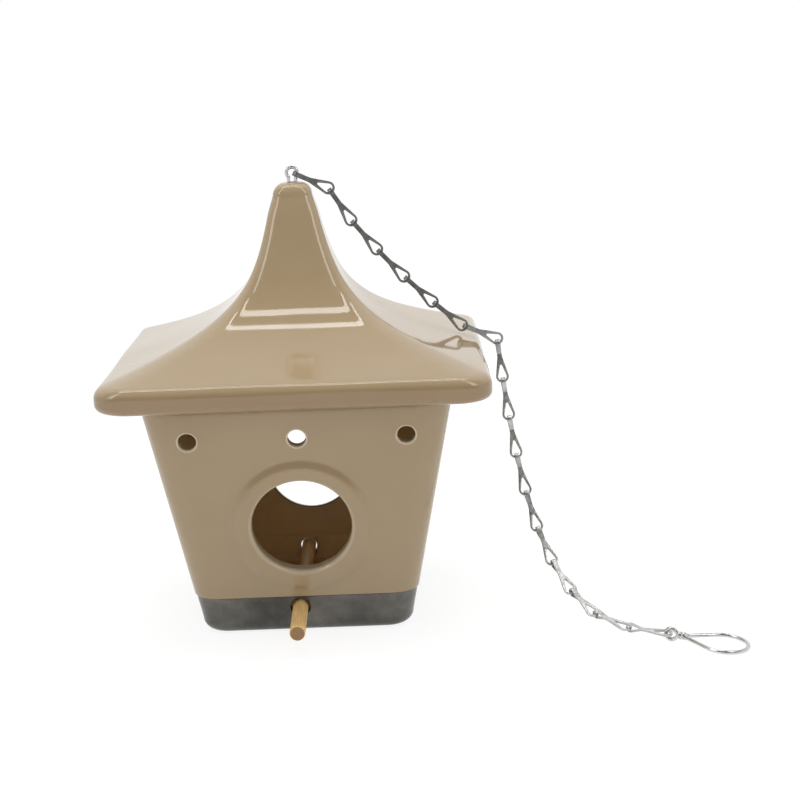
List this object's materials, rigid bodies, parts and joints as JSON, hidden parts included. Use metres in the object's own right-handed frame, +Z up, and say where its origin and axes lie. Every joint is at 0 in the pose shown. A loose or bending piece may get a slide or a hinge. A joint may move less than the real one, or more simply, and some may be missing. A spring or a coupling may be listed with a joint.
{
  "type": "hanging bird feeder",
  "caption": "Square glazed ceramic bird feeder with a spired roof, ringed round feeding holes, a wooden perch dowel and a hanging chain with a wire hanger loop.",
  "frame": {"origin": "centre of the flat underside of the base tray", "axes": "+Z up through the spire, feeding holes face -Y and +Y, the chain is led over the +X eave"},
  "size_m": [0.2509, 0.1662, 0.187],
  "materials": {
    "glaze": "glossy tan glaze",
    "pewter": "semi-gloss mottled grey",
    "birch": "bare",
    "zinc": "bright zinc",
    "steel": "plain"
  },
  "bodies": {
    "feeder": {"roof": "glaze", "house": "glaze", "base_tray": "pewter", "hanging_eye": "zinc", "retaining_washer": "zinc"},
    "perch": {"perch": "birch"},
    "link_01": {"chain_link_01": "steel"},
    "link_02": {"chain_link_02": "steel"},
    "link_03": {"chain_link_03": "steel"},
    "link_04": {"chain_link_04": "steel"},
    "link_05": {"chain_link_05": "steel"},
    "link_06": {"chain_link_06": "steel"},
    "link_07": {"chain_link_07": "steel"},
    "link_08": {"chain_link_08": "steel"},
    "link_09": {"chain_link_09": "steel"},
    "link_10": {"chain_link_10": "steel"},
    "link_11": {"chain_link_11": "steel"},
    "link_12": {"chain_link_12": "steel"},
    "link_13": {"chain_link_13": "steel"},
    "link_14": {"chain_link_14": "steel"},
    "link_15": {"chain_link_15": "steel"},
    "link_16": {"chain_link_16": "steel"},
    "link_17": {"chain_link_17": "steel"},
    "hanger": {"hanger_hook": "zinc"}
  },
  "joints": [
    {"name": "perch_slide", "type": "slide", "parent": "feeder", "child": "perch", "axis": [0, -1, 0], "range_m": [-0.025, 0.025]},
    {"name": "swing_01", "type": "hinge", "parent": "feeder", "child": "link_01", "pos_m": [0, 0, 0.1839], "axis": [0, -1, 0], "range_deg": [0, 12]},
    {"name": "swing_02", "type": "hinge", "parent": "link_01", "child": "link_02", "pos_m": [0.0147, 0.00173, 0.17684], "axis": [0.1167, -0.9932, 0], "range_deg": [0, 12]},
    {"name": "swing_03", "type": "hinge", "parent": "link_02", "child": "link_03", "pos_m": [0.02355, 0.00277, 0.16308], "axis": [0.1167, -0.9932, 0], "range_deg": [0, 12]},
    {"name": "swing_04", "type": "hinge", "parent": "link_03", "child": "link_04", "pos_m": [0.03381, 0.00397, 0.15033], "axis": [0.1167, -0.9932, 0], "range_deg": [0, 12]},
    {"name": "swing_05", "type": "hinge", "parent": "link_04", "child": "link_05", "pos_m": [0.0448, 0.00526, 0.13823], "axis": [0.1167, -0.9932, 0], "range_deg": [0, 12]},
    {"name": "swing_06", "type": "hinge", "parent": "link_05", "child": "link_06", "pos_m": [0.05648, 0.00663, 0.1268], "axis": [0.1167, -0.9932, 0], "range_deg": [0, 12]},
    {"name": "swing_07", "type": "hinge", "parent": "link_06", "child": "link_07", "pos_m": [0.06877, 0.00808, 0.11604], "axis": [0.1167, -0.9932, 0], "range_deg": [0, 12]},
    {"name": "swing_08", "type": "hinge", "parent": "link_07", "child": "link_08", "pos_m": [0.08363, 0.00982, 0.10933], "axis": [0.1167, -0.9932, 0], "range_deg": [-3, 15]},
    {"name": "swing_09", "type": "hinge", "parent": "link_08", "child": "link_09", "pos_m": [0.08538, 0.00639, 0.09338], "axis": [0.0018, -0.9775, 0.2107], "range_deg": [-3, 15]},
    {"name": "swing_10", "type": "hinge", "parent": "link_09", "child": "link_10", "pos_m": [0.0874, 0.00242, 0.0776], "axis": [0.0024, -0.9697, 0.2443], "range_deg": [-3, 15]},
    {"name": "swing_11", "type": "hinge", "parent": "link_10", "child": "link_11", "pos_m": [0.08985, -0.00238, 0.06211], "axis": [0.0034, -0.955, 0.2965], "range_deg": [-3, 15]},
    {"name": "swing_12", "type": "hinge", "parent": "link_11", "child": "link_12", "pos_m": [0.09292, -0.00842, 0.04718], "axis": [0.0052, -0.9268, 0.3756], "range_deg": [-3, 15]},
    {"name": "swing_13", "type": "hinge", "parent": "link_12", "child": "link_13", "pos_m": [0.09689, -0.01619, 0.03329], "axis": [0.0081, -0.8714, 0.4905], "range_deg": [-3, 15]},
    {"name": "swing_14", "type": "hinge", "parent": "link_13", "child": "link_14", "pos_m": [0.10197, -0.02617, 0.02131], "axis": [0.0115, -0.7662, 0.6425], "range_deg": [-3, 15]},
    {"name": "swing_15", "type": "hinge", "parent": "link_14", "child": "link_15", "pos_m": [0.10823, -0.03835, 0.01229], "axis": [0.0133, -0.5907, 0.8068], "range_deg": [-3, 15]},
    {"name": "swing_16", "type": "hinge", "parent": "link_15", "child": "link_16", "pos_m": [0.116, -0.0517, 0.00678], "axis": [0.0141, -0.374, 0.9273], "range_deg": [-3, 15]},
    {"name": "swing_17", "type": "hinge", "parent": "link_16", "child": "link_17", "pos_m": [0.12744, -0.06315, 0.00414], "axis": [0.0237, -0.2025, 0.979], "range_deg": [-3, 15]},
    {"name": "hanger_swing", "type": "hinge", "parent": "link_17", "child": "hanger", "pos_m": [0.14262, -0.06927, 0.00307], "axis": [0.0312, -0.0955, 0.9949], "range_deg": [-25, 25]}
  ]
}
